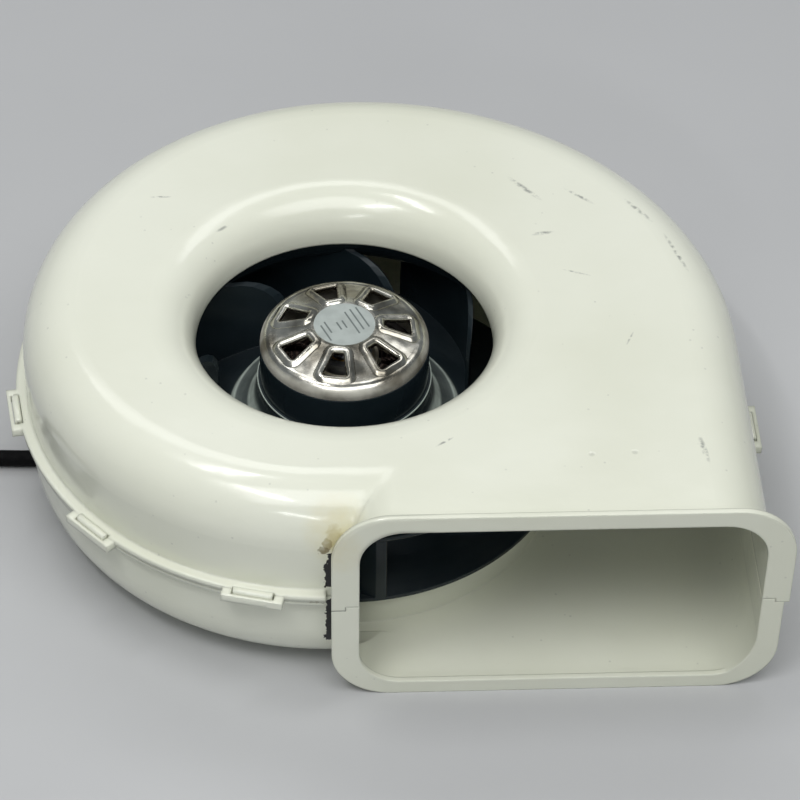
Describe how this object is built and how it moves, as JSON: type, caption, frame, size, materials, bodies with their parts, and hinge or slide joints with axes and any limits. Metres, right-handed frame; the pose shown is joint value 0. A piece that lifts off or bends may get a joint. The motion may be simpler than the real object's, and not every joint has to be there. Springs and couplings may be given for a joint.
{
  "type": "dc blower fan",
  "caption": "Radial blower: white two-part spiral housing with snap clips, inlet eye with an external-rotor motor and black backward-curved impeller, framed rectangular outlet, black lead.",
  "frame": {"origin": "on the impeller's axis, in the plane of the motor flange's mounting face, which is also the underside", "axes": "+Z along the impeller's axis, out of the inlet; -Y out of the outlet; +X to the right along the outlet's face"},
  "size_m": [0.5037, 0.3434, 0.122],
  "materials": {
    "shell_upper": "glossy moulded off-white ABS",
    "shell_lower": "glossy moulded off-white ABS",
    "cast_aluminium": "die-cast, as cast",
    "screw_steel": "zinc plated",
    "black_plastic": "moulded",
    "board_laminate": "green solder mask",
    "component_black": "moulded packages",
    "screw_brass": "yellow zinc plated",
    "wire_insulation": "insulated conductors",
    "grommet_rubber": "moulded rubber",
    "lamination_steel": "stacked electrical steel",
    "insulator_plastic": "glass-filled nylon",
    "winding_copper": "enamelled copper wire",
    "bearing_steel": "ground",
    "ball_steel": "polished",
    "cage_brass": "pressed",
    "can_chrome": "drawn steel, bright plated",
    "magnet_ferrite": "rubber-bonded ferrite strip",
    "shaft_steel": "ground",
    "bush_brass": "turned",
    "spring_steel": "blued spring steel",
    "label_film": "bare printed-film disc with no print",
    "impeller_plastic": "glass-filled black nylon",
    "lead_sheath": "black PVC sheath",
    "tie_nylon": "moulded nylon",
    "connector_nylon": "natural nylon"
  },
  "bodies": {
    "housing": {"upper_shell": "shell_upper", "lower_shell": "shell_lower", "motor_flange": "cast_aluminium", "flange_screws": "screw_steel", "bearing_cap": "black_plastic", "circuit_board": "board_laminate", "board_components": "component_black", "board_screws": "screw_brass", "lead_wires": "wire_insulation", "cable_grommet": "grommet_rubber", "stator_core": "lamination_steel", "stator_insulators": "insulator_plastic", "stator_windings": "winding_copper", "preload_spring": "bearing_steel", "upper_bearing_outer": "bearing_steel", "lower_bearing_outer": "bearing_steel", "motor_lead": "lead_sheath", "lead_coil": "lead_sheath", "coil_tie": "tie_nylon", "lead_connector": "connector_nylon"},
    "rotor": {"upper_bearing_inner": "bearing_steel", "lower_bearing_inner": "bearing_steel", "rotor_can": "can_chrome", "rotor_magnets": "magnet_ferrite", "rotor_shaft": "shaft_steel", "shaft_bush": "bush_brass", "retaining_ring": "spring_steel", "rotor_label": "label_film", "impeller_wheel": "impeller_plastic", "impeller_shroud": "impeller_plastic"},
    "upper_cage": {"upper_bearing_balls": "ball_steel", "upper_bearing_cage": "cage_brass"},
    "lower_cage": {"lower_bearing_balls": "ball_steel", "lower_bearing_cage": "cage_brass"}
  },
  "joints": [
    {"name": "rotor_spin", "type": "hinge", "parent": "housing", "child": "rotor", "pos_m": [0, 0, 0.06], "axis": [0, 0, 1], "continuous": true},
    {"name": "upper_cage_spin", "type": "hinge", "parent": "housing", "child": "upper_cage", "pos_m": [0, 0, 0.0836], "axis": [0, 0, 1], "continuous": true},
    {"name": "lower_cage_spin", "type": "hinge", "parent": "housing", "child": "lower_cage", "pos_m": [0, 0, 0.0275], "axis": [0, 0, 1], "continuous": true}
  ],
  "couplings": [
    {"joint": "upper_cage_spin", "follows": "rotor_spin", "ratio": 0.3677},
    {"joint": "lower_cage_spin", "follows": "rotor_spin", "ratio": 0.3677}
  ]
}
